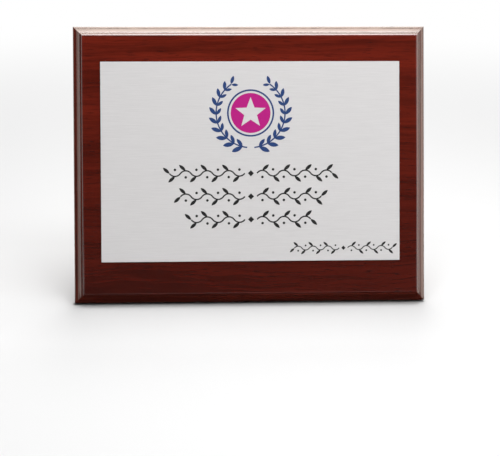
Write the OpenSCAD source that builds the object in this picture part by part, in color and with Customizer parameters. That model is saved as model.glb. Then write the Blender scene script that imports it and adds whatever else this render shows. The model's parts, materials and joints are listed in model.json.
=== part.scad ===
// Award plaque: a moulded, veneered board that carries a bonded aluminium plate.
// It stands on a fold-out strut and hangs from a keyhole hanger, both fixed to its back.
// Millimetres; +X to the right seen from the front, +Y to the rear, +Z up.
// The board leans back on its lower rear edge; the origin is on the floor, below the middle.

/* [Board] */
// Width of the board
board_w = 230; // [220:1:260]
// Height of the board
board_h = 180; // [170:1:210]
// Thickness of the board, both veneers included
board_t = 16; // [14:0.5:20]
// Thickness of each veneer
veneer_t = 0.6; // [0.4:0.1:0.8]

/* [Moulded edge] */
// Radius of the rounded outer arris
arris_r = 1.2; // [0.8:0.1:1.6]
// Radius of the cove
cove_r = 5; // [4.5:0.1:6]
// Width of the cove, seen from the front
cove_run = 3.6; // [3:0.1:4]
// Width of the flat between the cove and the bead
fillet_w = 0.8; // [0.4:0.1:1.2]
// Rise of that flat from the cove to the bead
fillet_rise = 0.3; // [0:0.1:0.5]
// Height of the square step between the flat and the bead
quirk_h = 0.5; // [0.3:0.1:0.8]
// Radius of the bead that rounds into the face
bead_r = 1.3; // [1:0.1:1.6]

/* [Inscription plate] */
// Width of the plate
plate_w = 195; // [150:1:200]
// Height of the plate
plate_h = 130; // [100:1:145]
// Thickness of the plate
plate_t = 0.5; // [0.4:0.1:1]
// Height of the plate's centre above the board's centre
plate_rise = 2; // [-4:0.5:6]
// Thickness of the adhesive sheet under the plate
adhesive_t = 0.2; // [0.1:0.05:0.3]
// Inset of the adhesive sheet from the plate's edges
adhesive_inset = 2; // [1:0.5:6]

/* [Stance] */
// Lean of the board from upright, in degrees
lean = 12; // [9:0.5:14]
// Opening of the strut from the board's back, in degrees
strut_open = 22; // [19:0.5:24]

/* [Strut] */
// Length of the strut from its hinge pin to its sole
strut_l = 100; // [88:1:108]
// Width of the strut at the hinge
strut_w = 20; // [16:1:24]
// Width of the strut at the foot
foot_w = 12; // [10:1:14]
// Thickness of the strut's sheet steel
strut_sheet = 0.8; // [0.6:0.1:0.9]
// Radius of the hinge pin
pin_r = 1; // [0.8:0.1:1.1]

/* [Bracket] */
// Width of the bracket's base
base_w = 44; // [42:1:56]
// Height of the bracket's base
base_h = 30; // [28:1:40]
// Thickness of the bracket's sheet steel
bracket_sheet = 1; // [0.8:0.1:1.2]

/* [Hanger] */
// Width of the hanger plate
hanger_w = 46; // [42:1:60]
// Height of the hanger plate
hanger_h = 24; // [22:1:30]
// Thickness of the hanger plate
hanger_t = 1.2; // [1:0.1:1.6]
// Radius of the keyhole's round entry
keyhole_r = 4.5; // [4:0.1:5]
// Width of the keyhole's slot
slot_w = 4.6; // [4:0.1:5]
// Height of the slot's end above the middle of the entry
slot_rise = 9; // [7:0.5:10]
// Height of the keyhole's entry below the board's top edge
hanger_drop = 34; // [30:1:40]
// Depth of the pocket behind the keyhole, from the back
pocket_depth = 9; // [7:0.5:11]

/* [Bumpers] */
// Radius of a wall bumper
bumper_r = 5; // [4:0.5:7]
// Height of a wall bumper
bumper_h = 6.2; // [6:0.1:8]
// Distance of a bumper's middle from the board's edges
bumper_inset = 16; // [12:1:24]

/* [Hidden] */
$fn = 48;

// Steps along each rounded stretch of an outline
arc_steps = 8;
// Overshoot of a cutting shape
cut = 1;

// Moulding, with the arris at the side wall and the bead at the face
edge_ease = veneer_t;
cove_reach = cove_r - cove_run;
cove_drop = sqrt(cove_r * cove_r - cove_reach * cove_reach);
cove_angle = acos(cove_reach / cove_r);
arris_w = arris_r * (1 - cove_reach / cove_r);
moulding_w = arris_w + cove_run + fillet_w + bead_r;
fillet_d = board_t - bead_r - quirk_h - fillet_rise;
wall_d = fillet_d - cove_drop * (1 + arris_r / cove_r);

// Places on the upright board, whose back is the plane y = 0 and whose bottom is z = 0
plate_z = board_h / 2 + plate_rise;
keyhole_z = board_h - hanger_drop;
hanger_z = keyhole_z + slot_rise / 3;
hanger_screw_x = hanger_w / 2 - 6;
hanger_corner_r = 3;
seat_gap = 0.1;
pocket_r = keyhole_r + 2;

// Hinge, measured from the pin's axis: p to the rear, q upwards along the board
pin_gap = 0.05;
hinge_gap = 0.2;
knuckle_r = pin_r + 0.8;
base_clear = knuckle_r + hinge_gap;
pin_y = bracket_sheet + base_clear;
web_inner = pin_r + hinge_gap;
web_outer = web_inner + strut_sheet;
heel_q = 6;
shoulder_q = -14;
foot_flange_p = -0.5;
foot_end_q = -strut_l + 4;

// Hinge, measured across from the middle
washer_t = 0.5;
washer_gap = 0.05;
washer_x = strut_w / 2 + washer_gap;
ear_x = washer_x + washer_t + washer_gap;
ear_foot_q = 5;
ear_r = knuckle_r + hinge_gap;
pin_end_x = ear_x + bracket_sheet;
pin_head_r = pin_r + 0.9;
pin_head_h = 1;

// Rubber tip of the strut
tip_w = foot_w + 4;
tip_h = 14;
tip_front_p = -2;
tip_rear_p = web_outer + 0.9;
tip_corner_r = 1.5;
tip_mid_p = (tip_front_p + tip_rear_p) / 2;

// Height of the hinge at which the sole meets the floor
sole_y = pin_y + tip_mid_p * cos(strut_open) + strut_l * sin(strut_open);
sole_z = (sole_y + edge_ease) * tan(lean);
hinge_z = sole_z + strut_l * cos(strut_open) - tip_mid_p * sin(strut_open);

// Screws
screw_r = 1.4;
screw_l = 9;
screw_point = 2.5;
screw_gap = 0.03;
csk_r = screw_r + hanger_t;
csk_gap = 0.05;
pan_r = 2.6;
pan_h = 1.7;
pan_corner_r = 1;
recess_w = 0.7;
recess_l = 2.8;
recess_d = 0.9;
base_corner_r = 4;
base_hole_r = screw_r + 0.2;
bracket_screw_x = base_w / 2 - 5;
bracket_screw_q = base_h / 2 - 6;

// Front and rear reach of the leaned plaque, which its middle halves
rear_face_y = pin_y + tip_rear_p * cos(strut_open);
rear_face_z = hinge_z + tip_rear_p * sin(strut_open);
rear_run = (rear_face_z - (rear_face_y + edge_ease) * tan(lean))
    / (cos(strut_open) + sin(strut_open) * tan(lean));
rear_y = rear_face_y + rear_run * sin(strut_open);
rear_reach = rear_y * cos(lean) + (rear_y + edge_ease) * tan(lean) * sin(lean);
front_reach = (bead_r - board_t) * cos(lean) + moulding_w * sin(lean) - bead_r;

function arc(center, r, from, to) = [for (i = [0:arc_steps])
    let (a = from + (to - from) * i / arc_steps)
    [center[0] + r * cos(a), center[1] + r * sin(a)]];

function reversed(points) = [for (i = [len(points) - 1:-1:0]) points[i]];

function rounded_rectangle(w, h, r) = concat(
    arc([w / 2 - r, h / 2 - r], r, 0, 90),
    arc([r - w / 2, h / 2 - r], r, 90, 180),
    arc([r - w / 2, r - h / 2], r, 180, 270),
    arc([w / 2 - r, r - h / 2], r, 270, 360));

function upright_slot(r, rise) = concat(arc([0, rise], r, 0, 180), arc([0, 0], r, 180, 360));

// Edge of the board from its back to its face, as inset from the side and distance from the back
edge_profile = concat(
    [[edge_ease, 0], [0, edge_ease]],
    arc([arris_r, wall_d], arris_r, 180, 180 - cove_angle),
    arc([arris_w - cove_reach, fillet_d], cove_r, -cove_angle, 0),
    [[arris_w + cove_run + fillet_w, fillet_d + fillet_rise]],
    arc([moulding_w, board_t - bead_r], bead_r, 180, 90));

function board_section(span) = concat(
    [for (p = edge_profile) [span / 2 - p[0], -p[1]]],
    reversed([for (p = edge_profile) [p[0] - span / 2, -p[1]]]));

// Takes the upright plaque into its standing pose
module standing() {
    translate([0, -(front_reach + rear_reach) / 2, -edge_ease * sin(lean)])
        rotate([-lean, 0, 0])
            children();
}

// Turns a drawing in the plane of the board's back so that it rises to the rear
module on_back(y, z) {
    translate([0, y, z]) rotate([90, 0, 0]) mirror([0, 0, 1]) children();
}

// Takes the strut from its folded place at the origin to its opened place on the hinge
module opened() {
    standing() translate([0, pin_y, hinge_z]) rotate([strut_open, 0, 0]) children();
}

// Extrudes a drawing of p and q across the plaque, between two places on X
module across(from, to) {
    translate([from, 0, 0]) rotate([90, 0, 90]) linear_extrude(to - from) children();
}

// Board as moulded, before it is divided into its layers
module moulded_blank() {
    intersection() {
        linear_extrude(board_h) polygon(board_section(board_w));
        translate([0, 0, board_h / 2])
            rotate([0, -90, 0])
                linear_extrude(board_w, center = true) polygon(board_section(board_h));
    }
}

// Part of the moulded board between two distances from its back
module board_layer(from, to) {
    intersection() {
        moulded_blank();
        translate([-board_w, -to, -cut]) cube([2 * board_w, to - from, board_h + 2 * cut]);
    }
}

module at_hanger_screws() {
    for (side = [-1, 1]) translate([side * hanger_screw_x, 0, 0]) children();
}

module at_bracket_screws() {
    for (side = [-1, 1], level = [-1, 1])
        translate([side * bracket_screw_x, 0, level * bracket_screw_q]) children();
}

module pilot_hole() {
    rotate([90, 0, 0]) cylinder(r = screw_r + screw_gap, h = screw_l + cut);
}

module hanger_outline(gap) {
    polygon(rounded_rectangle(hanger_w + 2 * gap, hanger_h + 2 * gap, hanger_corner_r + gap));
}

// Seat that is sunk into the back for the hanger plate
module hanger_seat() {
    on_back(-hanger_t, hanger_z) linear_extrude(hanger_t + cut) hanger_outline(seat_gap);
}

// Pocket that takes the head of the wall screw behind the keyhole
module hanger_pocket() {
    on_back(-pocket_depth, keyhole_z)
        linear_extrude(pocket_depth + cut) polygon(upright_slot(pocket_r, slot_rise));
}

module screw_holes() {
    translate([0, -hanger_t, hanger_z]) at_hanger_screws() pilot_hole();
    translate([0, cut, hinge_z]) at_bracket_screws() pilot_hole();
}

module core_board() {
    color("#4f1a11") standing() difference() {
        board_layer(veneer_t, board_t - veneer_t);
        hanger_seat();
        hanger_pocket();
        screw_holes();
    }
}

module face_veneer() {
    color("#6b2118") standing() board_layer(board_t - veneer_t, board_t);
}

module back_veneer() {
    color("#4a2417") standing() difference() {
        board_layer(0, veneer_t);
        hanger_seat();
        screw_holes();
    }
}

// Square-cornered sheet on the face, from a distance in front of it
module face_sheet(gap, w, h, t) {
    standing() translate([-w / 2, -board_t - gap - t, plate_z - h / 2]) cube([w, t, h]);
}

module adhesive_sheet() {
    color("#d8d4c8")
        face_sheet(0, plate_w - 2 * adhesive_inset, plate_h - 2 * adhesive_inset, adhesive_t);
}

module inscription_plate() {
    color("#d5d3d3") face_sheet(adhesive_t, plate_w, plate_h, plate_t);
}

module hanger_plate() {
    color("#b99a52") standing() difference() {
        on_back(-hanger_t, hanger_z) linear_extrude(hanger_t) hanger_outline(0);
        translate([0, cut, keyhole_z])
            rotate([90, 0, 0]) cylinder(r = keyhole_r, h = hanger_t + 2 * cut);
        translate([0, cut, keyhole_z + slot_rise])
            rotate([90, 0, 0]) cylinder(r = slot_w / 2, h = hanger_t + 2 * cut);
        translate([-slot_w / 2, -hanger_t - cut, keyhole_z])
            cube([slot_w, hanger_t + 2 * cut, slot_rise]);
        translate([0, -hanger_t, hanger_z])
            at_hanger_screws()
                rotate([-90, 0, 0])
                    cylinder(r1 = screw_r + csk_gap, r2 = csk_r + csk_gap, h = hanger_t);
    }
}

// Cross recess that is sunk into a screw head whose top is at the origin
module cross_recess() {
    for (turn = [0, 90])
        rotate([0, turn, 0])
            translate([-recess_l / 2, -recess_d, -recess_w / 2])
                cube([recess_l, recess_d + cut, recess_w]);
}

module countersunk_screw() {
    difference() {
        rotate([90, 0, 0]) rotate_extrude() polygon([[0, 0], [csk_r, 0], [screw_r, hanger_t],
            [screw_r, hanger_t + screw_l - screw_point], [0, hanger_t + screw_l]]);
        cross_recess();
    }
}

module pan_screw() {
    difference() {
        rotate([-90, 0, 0]) rotate_extrude() polygon(concat(
            [[0, -screw_l], [screw_r, screw_point - screw_l], [screw_r, 0], [pan_r, 0]],
            arc([pan_r - pan_corner_r, pan_h - pan_corner_r], pan_corner_r, 0, 90),
            [[0, pan_h]]));
        translate([0, pan_h, 0]) cross_recess();
    }
}

module hanger_screws() {
    color("#c8ab63") standing() translate([0, 0, hanger_z]) at_hanger_screws() countersunk_screw();
}

module bracket_screws() {
    color("#c8ab63") standing() translate([0, bracket_sheet, hinge_z])
        at_bracket_screws() pan_screw();
}

// Outline of an ear: straight flanks from the base to the round that goes over the pin
module ear_outline() {
    flank = atan2(ear_foot_q, -pin_y) - acos(ear_r / norm([ear_foot_q, pin_y]));
    polygon(concat([[-pin_y, -ear_foot_q]], arc([0, 0], ear_r, -flank, flank),
        [[-pin_y, ear_foot_q]]));
}

module strut_bracket() {
    color("#b99a52") standing() difference() {
        union() {
            on_back(0, hinge_z)
                linear_extrude(bracket_sheet) polygon(rounded_rectangle(base_w, base_h, base_corner_r));
            translate([0, pin_y, hinge_z]) for (side = [-1, 1])
                across(side * ear_x - (1 - side) / 2 * bracket_sheet,
                    side * ear_x + (1 + side) / 2 * bracket_sheet) ear_outline();
        }
        translate([-pin_end_x - cut, pin_y, hinge_z])
            rotate([0, 90, 0]) cylinder(r = pin_r + screw_gap, h = 2 * (pin_end_x + cut));
        translate([0, bracket_sheet + cut, hinge_z])
            at_bracket_screws()
                rotate([90, 0, 0]) cylinder(r = base_hole_r, h = bracket_sheet + 2 * cut);
    }
}

module hinge_pin() {
    half = concat([[0, -pin_end_x - pin_head_h]],
        arc([pin_head_r - pin_head_h, -pin_end_x], pin_head_h, 270, 360), [[pin_r, -pin_end_x]]);
    color("#c8ab63") standing() translate([0, pin_y, hinge_z])
        rotate([0, 90, 0])
            rotate_extrude()
                polygon(concat(half, reversed([for (p = half) [p[0], -p[1]]])));
}

module hinge_washer(side) {
    color("#e8e6df") standing() translate([side * washer_x, pin_y, hinge_z])
        rotate([0, side * 90, 0]) difference() {
            cylinder(r = knuckle_r, h = washer_t);
            translate([0, 0, -cut]) cylinder(r = pin_r + pin_gap, h = washer_t + 2 * cut);
        }
}

module hinge_washer_left() {
    hinge_washer(-1);
}

module hinge_washer_right() {
    hinge_washer(1);
}

// Outline of the strut from behind, drawn in from its edges
module strut_plan(inset, over) {
    polygon([[strut_w / 2 - inset, heel_q + over], [strut_w / 2 - inset, shoulder_q],
        [foot_w / 2 - inset, foot_end_q - over], [inset - foot_w / 2, foot_end_q - over],
        [inset - strut_w / 2, shoulder_q], [inset - strut_w / 2, heel_q + over]]);
}

// Outline of the strut's flanges: round at the pin, with a heel that lands on the base when open
module flange_outline() {
    heel_p = (heel_q * sin(strut_open) - knuckle_r) / cos(strut_open);
    polygon(concat([[web_outer, heel_q], [heel_p, heel_q]],
        arc([0, 0], knuckle_r, 180 - strut_open, 180),
        [[-knuckle_r, shoulder_q], [foot_flange_p, foot_end_q], [web_outer, foot_end_q]]));
}

// Folded strut as a channel whose web is to the rear
module strut_channel() {
    difference() {
        intersection() {
            translate([0, -knuckle_r - cut, 0])
                on_back(0, 0) linear_extrude(knuckle_r + web_outer + cut) strut_plan(0, 0);
            across(-strut_w, strut_w) flange_outline();
        }
        translate([0, -knuckle_r - cut, 0])
            on_back(0, 0) linear_extrude(knuckle_r + web_inner + cut) strut_plan(strut_sheet, cut);
    }
}

module strut_leg() {
    color("#b99a52") opened() difference() {
        strut_channel();
        translate([-strut_w, 0, 0])
            rotate([0, 90, 0]) cylinder(r = pin_r + pin_gap, h = 2 * strut_w);
    }
}

// Rubber boot over the end of the strut, cut level where it stands on the floor
module leg_tip() {
    color("#262626") difference() {
        opened() difference() {
            translate([0, tip_mid_p, -strut_l - tip_corner_r])
                linear_extrude(tip_h + tip_corner_r)
                    polygon(rounded_rectangle(tip_w, tip_rear_p - tip_front_p, tip_corner_r));
            strut_channel();
        }
        translate([-tip_w, -board_h, -board_h]) cube([2 * tip_w, 2 * board_h, board_h]);
    }
}

// Turned rubber bumper that stands on the board's back
module bumper(side, level) {
    taper = 0.6;
    crown_r = 1.2;
    color("#2b2b2b") standing()
        translate([side * (board_w / 2 - bumper_inset), 0,
            board_h / 2 + level * (board_h / 2 - bumper_inset)])
            rotate([-90, 0, 0])
                rotate_extrude() polygon(concat([[0, 0], [bumper_r, 0]],
                    arc([bumper_r - taper - crown_r, bumper_h - crown_r], crown_r, 0, 90),
                    [[0, bumper_h]]));
}

module bumper_upper_left() {
    bumper(-1, 1);
}

module bumper_upper_right() {
    bumper(1, 1);
}

module bumper_lower_left() {
    bumper(-1, -1);
}

module bumper_lower_right() {
    bumper(1, -1);
}

core_board();
face_veneer();
back_veneer();
adhesive_sheet();
inscription_plate();
hanger_plate();
hanger_screws();
strut_bracket();
bracket_screws();
hinge_pin();
hinge_washer_left();
hinge_washer_right();
strut_leg();
leg_tip();
bumper_upper_left();
bumper_upper_right();
bumper_lower_left();
bumper_lower_right();
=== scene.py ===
"""Wooden award plaque: a moulded mahogany board with a silver plate, on a fold-out strut.

Metres. +X is to the right seen from the front, +Y to the rear and +Z up.
Board pieces are drawn flat on a bench: x to the right, y up the board and z from its back to
its face. The strut is drawn folded, about its pin.
"""
import json
import math

import bmesh
import bpy
from mathutils import Matrix, Vector


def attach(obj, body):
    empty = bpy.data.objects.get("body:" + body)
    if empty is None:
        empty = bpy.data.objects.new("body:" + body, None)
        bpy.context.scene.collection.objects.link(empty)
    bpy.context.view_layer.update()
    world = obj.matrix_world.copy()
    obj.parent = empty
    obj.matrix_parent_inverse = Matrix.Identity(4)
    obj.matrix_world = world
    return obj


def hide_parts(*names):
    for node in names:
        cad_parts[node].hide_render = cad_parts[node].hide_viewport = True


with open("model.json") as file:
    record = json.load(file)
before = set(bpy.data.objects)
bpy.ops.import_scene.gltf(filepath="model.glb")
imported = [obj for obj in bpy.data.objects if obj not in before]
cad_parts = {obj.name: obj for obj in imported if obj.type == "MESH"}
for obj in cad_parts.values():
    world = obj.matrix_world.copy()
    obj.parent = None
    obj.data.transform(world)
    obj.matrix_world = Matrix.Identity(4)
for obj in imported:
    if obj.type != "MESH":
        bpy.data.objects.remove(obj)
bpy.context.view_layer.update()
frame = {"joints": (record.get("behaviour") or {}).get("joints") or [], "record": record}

MM = 0.001

# Board and its moulded edge
BOARD_W = 230 * MM
BOARD_H = 180 * MM
BOARD_T = 16 * MM
VENEER_T = 0.6 * MM
ARRIS_R = 1.2 * MM
COVE_R = 5 * MM
COVE_RUN = 3.6 * MM
FILLET_W = 0.8 * MM
FILLET_RISE = 0.3 * MM
QUIRK_H = 0.5 * MM
BEAD_R = 1.3 * MM

# Silver plate, its adhesive and its print
PLATE_W = 195 * MM
PLATE_H = 130 * MM
PLATE_T = 0.5 * MM
PLATE_RISE = 2 * MM
PLATE_EASE = 0.12 * MM
ADHESIVE_T = 0.2 * MM
ADHESIVE_INSET = 2 * MM
ADHESIVE_CORNER_R = 4 * MM
INK_T = 0.02 * MM

# Keyhole hanger
HANGER_W = 46 * MM
HANGER_H = 24 * MM
HANGER_T = 1.2 * MM
HANGER_CORNER_R = 3 * MM
HANGER_DROP = 34 * MM
KEYHOLE_R = 4.5 * MM
SLOT_W = 4.6 * MM
SLOT_RISE = 9 * MM
SEAT_GAP = 0.1 * MM
POCKET_R = KEYHOLE_R + 2 * MM
POCKET_DEPTH = 9 * MM
HANGER_SCREW_X = HANGER_W / 2 - 6 * MM
SHEET_EASE = 0.15 * MM

# Screws
SCREW_R = 1.4 * MM
SCREW_L = 9 * MM
SCREW_POINT = 2.5 * MM
NECK_L = 1.5 * MM
THREAD_START = 1.8 * MM
THREAD_PITCH = 1.1 * MM
THREAD_ROOT_R = 1.05 * MM
THREAD_SUNK_R = 1 * MM
THREAD_STEPS = 20
CSK_R = SCREW_R + HANGER_T
CSK_EASE = 0.1 * MM
PAN_R = 2.6 * MM
PAN_H = 1.7 * MM
PAN_CORNER_R = 1 * MM
PILOT_R = SCREW_R + 0.03 * MM
RECESS_W = 0.7 * MM
RECESS_L = 2.8 * MM
RECESS_D = 0.9 * MM
RECESS_TAPER = 0.6
HANGER_SCREW_TURNS = (0.5, 1.2)
BRACKET_SCREW_TURNS = (0.3, 1.1, -0.4, 0.7)

# Hinge bracket, pin and washers
BASE_W = 44 * MM
BASE_H = 30 * MM
BASE_CORNER_R = 4 * MM
BASE_T = 1 * MM
BASE_HOLE_R = SCREW_R + 0.2 * MM
BRACKET_SCREW_X = BASE_W / 2 - 5 * MM
BRACKET_SCREW_Y = BASE_H / 2 - 6 * MM
PIN_R = 1 * MM
PIN_HEAD_R = 1.9 * MM
PIN_HEAD_H = 1 * MM
WASHER_R = 1.8 * MM
WASHER_T = 0.5 * MM
WASHER_EASE = 0.1 * MM
HINGE_PLAY = 0.05 * MM
EAR_R = 2 * MM
EAR_FOOT = 5 * MM
EAR_ROOT_R = 0.35 * MM
EAR_TOP_ANGLE = 8

# Strut, measured from the pin: p to the rear and q up
STRUT_L = 100 * MM
STRUT_W = 20 * MM
FOOT_W = 12 * MM
STRUT_SHEET = 0.8 * MM
KNUCKLE_R = 1.8 * MM
WEB_OUTER = 2 * MM
HEEL_Q = 6 * MM
SHOULDER_Q = -14 * MM
FOOT_FLANGE_P = -0.5 * MM
FOOT_END_Q = -96 * MM
BEND_R = 1.2 * MM
RIB_R = 3 * MM
RIB_TOP_Q = -20 * MM
RIB_END_Q = -74 * MM
RIB_FLANK = [(0, 0), (0.3 * MM, -0.1 * MM), (1.1 * MM, -0.7 * MM), (1.5 * MM, -0.8 * MM)]

# Rubber boot
BOOT_W = 16 * MM
BOOT_H = 14 * MM
BOOT_FRONT_P = -2 * MM
BOOT_REAR_P = 2.9 * MM
BOOT_CORNER_R = 1.5 * MM
GROOVES = 3
GROOVE_RISE = 5.6 * MM
GROOVE_STEP = 2.4 * MM
GROOVE_W = 1.2 * MM
GROOVE_SLOPE = 0.3 * MM
GROOVE_DEPTH = 0.35 * MM
LIP_R = 0.8 * MM
LIP_LAND = 0.3 * MM
LIP_SLOPE = 0.2 * MM
LIP_DEPTH = 0.5 * MM

# Wall bumpers
BUMPER_R = 5 * MM
BUMPER_H = 6.2 * MM
BUMPER_INSET = 16 * MM
BUMPER_TAPER = 0.6 * MM
BUMPER_CROWN_R = 1.2 * MM
BUMPER_FOOT_H = 0.5 * MM
BUMPER_FOOT_STEP = 0.3 * MM
BUMPER_FOOT_TOP = 0.9 * MM
DISH_R = 2.3 * MM
DISH_FLOOR_R = 1.9 * MM
DISH_DEPTH = 0.5 * MM
DISH_MIDDLE = 0.7 * MM

# Camera, about the middle of the face of the upright board
FOCAL_PX = 2263
FRAME_W_PX = 500
SENSOR_W = 36
CAMERA_YAW = math.radians(4.39)
CAMERA_PITCH = math.radians(2.33)
CAMERA_ROLL = math.radians(0.26)
CAMERA_OFFSET = Vector((0.5, 1474.7, 41.4)) * MM

# Edges turn sharp at this angle
SHARP = math.radians(32)

# Worked out from the sizes above
COVE_REACH = COVE_R - COVE_RUN
COVE_DROP = math.sqrt(COVE_R ** 2 - COVE_REACH ** 2)
COVE_ANGLE = math.degrees(math.acos(COVE_REACH / COVE_R))
ARRIS_W = ARRIS_R * (1 - COVE_REACH / COVE_R)
MOULDING_W = ARRIS_W + COVE_RUN + FILLET_W + BEAD_R
FILLET_Z = BOARD_T - BEAD_R - QUIRK_H - FILLET_RISE
WALL_Z = FILLET_Z - COVE_DROP * (1 + ARRIS_R / COVE_R)
BOARD_MID_Y = BOARD_H / 2
PLATE_Y = BOARD_MID_Y + PLATE_RISE
PRINT_Z = BOARD_T + ADHESIVE_T + PLATE_T
KEYHOLE_Y = BOARD_H - HANGER_DROP
HANGER_Y = KEYHOLE_Y + SLOT_RISE / 3

# Place of the leaning board and of its hinge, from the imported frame
keyhole = next(m for m in frame["record"]["mounts"] if m["name"] == "wall_keyhole")
hinge = next(j for j in frame["joints"] if j["name"] == "strut_hinge")
LEAN = math.atan2(-keyhole["axis"][2], keyhole["axis"][1])
TILT = Matrix.Rotation(-LEAN, 4, "X")
KEYHOLE_PLACE = Vector((0, -HANGER_T / 2, KEYHOLE_Y))
STANDING = Matrix.Translation(Vector(keyhole["pos_m"]) - TILT @ KEYHOLE_PLACE) @ TILT
PIN = STANDING.inverted() @ Vector(hinge["pos_m"])
STRUT_OPEN = math.radians(-hinge["range_deg"][0])
OPENED = STANDING @ Matrix.Translation(PIN) @ Matrix.Rotation(STRUT_OPEN, 4, "X")
FROM_BENCH = Matrix.Rotation(math.pi / 2, 4, "X")
ON_BOARD = STANDING @ FROM_BENCH
ON_STRUT = OPENED @ FROM_BENCH
PIN_Y = PIN.z
PIN_DEPTH = PIN.y
WASHER_X = STRUT_W / 2 + HINGE_PLAY
EAR_X = WASHER_X + WASHER_T + HINGE_PLAY
PIN_END_X = EAR_X + BASE_T
HANGER_SCREWS = [(x, HANGER_Y) for x in (-HANGER_SCREW_X, HANGER_SCREW_X)]
BRACKET_SCREWS = [
    (x, PIN_Y + y) for x in (-BRACKET_SCREW_X, BRACKET_SCREW_X)
    for y in (-BRACKET_SCREW_Y, BRACKET_SCREW_Y)]


# Drawing and raising

def arc(cx, cy, radius, start, end, steps):
    """Points along an arc between two angles in degrees, both ends included."""
    angles = [math.radians(start + (end - start) * i / steps) for i in range(steps + 1)]
    return [(cx + radius * math.cos(a), cy + radius * math.sin(a)) for a in angles]


def turned_point(x, y, angle):
    """A point turned about the origin of its drawing."""
    return (x * math.cos(angle) - y * math.sin(angle), x * math.sin(angle) + y * math.cos(angle))


def blank():
    """An empty mesh whose faces can be marked as worn rims."""
    bm = bmesh.new()
    bm.faces.layers.float.new("rim")
    return bm


def faces_of(geometry):
    """The faces among mixed mesh elements."""
    return [g for g in geometry if isinstance(g, bmesh.types.BMFace)]


class Pen:
    """Draws one outline at a height: lines by extruding its tip, arcs by spinning it."""

    def __init__(self, bm, x, y, z):
        self.bm = bm
        self.known = set(bm.edges)
        self.first = bm.verts.new((x, y, z))
        self.tip = self.first

    def line(self, x, y):
        """Goes straight to a point."""
        self.tip = bmesh.ops.extrude_vert_indiv(self.bm, verts=[self.tip])["verts"][0]
        self.tip.co.xy = (x, y)
        return self

    def arc(self, x, y, degrees, steps=12):
        """Goes round a centre, anticlockwise where degrees are positive."""
        spun = bmesh.ops.spin(
            self.bm, geom=[self.tip], cent=(x, y, self.tip.co.z), axis=(0, 0, 1),
            angle=math.radians(degrees), steps=steps)
        self.tip = spun["geom_last"][0]
        return self

    def close(self):
        """Welds the tip to the start, where the last move ended, and gives the outline's edges."""
        bmesh.ops.weld_verts(self.bm, targetmap={self.tip: self.first})
        return [e for e in self.bm.edges if e not in self.known]


def circle(bm, radius, x, y, z, segments=32):
    """A round outline."""
    known = set(bm.edges)
    at = Matrix.Translation((x, y, z))
    bmesh.ops.create_circle(bm, segments=segments, radius=radius, matrix=at)
    return [e for e in bm.edges if e not in known]


def rectangle(bm, w, h, x, y, z):
    """A rectangular face that looks along +z."""
    at = Matrix.Translation((x, y, z)) @ Matrix.Diagonal((w, h, 1, 1))
    made = bmesh.ops.create_grid(bm, x_segments=1, y_segments=1, size=0.5, matrix=at)
    return made["verts"][0].link_faces[0]


def rounded_rectangle(bm, w, h, radius, x, y, z):
    """The outline of a rectangle with round corners."""
    known = set(bm.edges)
    corners = rectangle(bm, w, h, x, y, z).verts[:]
    bmesh.ops.bevel(bm, geom=corners, offset=radius, offset_type="OFFSET", segments=8,
                    profile=0.5, affect="VERTICES", material=-1)
    edges = [e for e in bm.edges if e not in known]
    inside = list({f for e in edges for f in e.link_faces})
    bmesh.ops.delete(bm, geom=inside, context="FACES_ONLY")
    return edges


def upright_slot(bm, radius, rise, x, y, z):
    """A slot with round ends, from the middle of its lower end."""
    pen = Pen(bm, x + radius, y, z).line(x + radius, y + rise).arc(x, y + rise, 180)
    return pen.line(x - radius, y).arc(x, y, 180).close()


def fill(bm, edges, facing=1):
    """Fills the space between outlines with faces that look along +z or -z."""
    made = bmesh.ops.triangle_fill(bm, edges=edges, use_beauty=True, normal=(0, 0, facing))
    return faces_of(made["geom"])


def lid(bm, edges):
    """One face over a single outline."""
    return faces_of(bmesh.ops.contextual_create(bm, geom=edges)["faces"])


def sink(bm, edges, depth, taper=1.0):
    """Extrudes an outline along z, narrows it about the axis, and gives its far edges."""
    made = bmesh.ops.extrude_edge_only(bm, edges=edges)["geom"]
    verts = [g for g in made if isinstance(g, bmesh.types.BMVert)]
    bmesh.ops.translate(bm, verts=verts, vec=(0, 0, depth))
    bmesh.ops.scale(bm, verts=verts, vec=(taper, taper, 1))
    return [g for g in made if isinstance(g, bmesh.types.BMEdge)]


def climb(bm, cap, profile, worn=False):
    """Raises a cap through (inset, height) points; each step leaves a ring of wall behind it."""
    rim = bm.faces.layers.float["rim"]
    for (inset, height), (next_inset, next_height) in zip(profile, profile[1:]):
        ring = bmesh.ops.inset_region(
            bm, faces=cap, thickness=next_inset - inset, depth=next_height - height,
            use_even_offset=True, use_boundary=True)["faces"]
        for face in ring:
            face[rim] = float(worn)


def cut_away(bm, point, out):
    """Cuts off what lies beyond a plane."""
    everything = bm.verts[:] + bm.edges[:] + bm.faces[:]
    bmesh.ops.bisect_plane(bm, geom=everything, plane_co=point, plane_no=out, clear_outer=True)


def weld(bm):
    """Merges points that coincide and turns every face outwards."""
    bmesh.ops.remove_doubles(bm, verts=bm.verts, dist=0.001 * MM)
    bmesh.ops.recalc_face_normals(bm, faces=bm.faces)


def plate(bm, outlines, thickness, ease=0.0, islands=()):
    """Fills outlines at mid height into a plate with eased rims; gives its sides, islands last."""
    front = fill(bm, outlines) + list(islands)
    back = faces_of(bmesh.ops.duplicate(bm, geom=front)["geom"])
    bmesh.ops.reverse_faces(bm, faces=back)
    half = thickness / 2
    for cap in (front, back):
        climb(bm, cap, [(0, 0), (0, half - ease)])
        if ease:
            climb(bm, cap, arc(ease, half - ease, ease, 180, 90, 3), worn=True)
    weld(bm)
    return front, back


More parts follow.
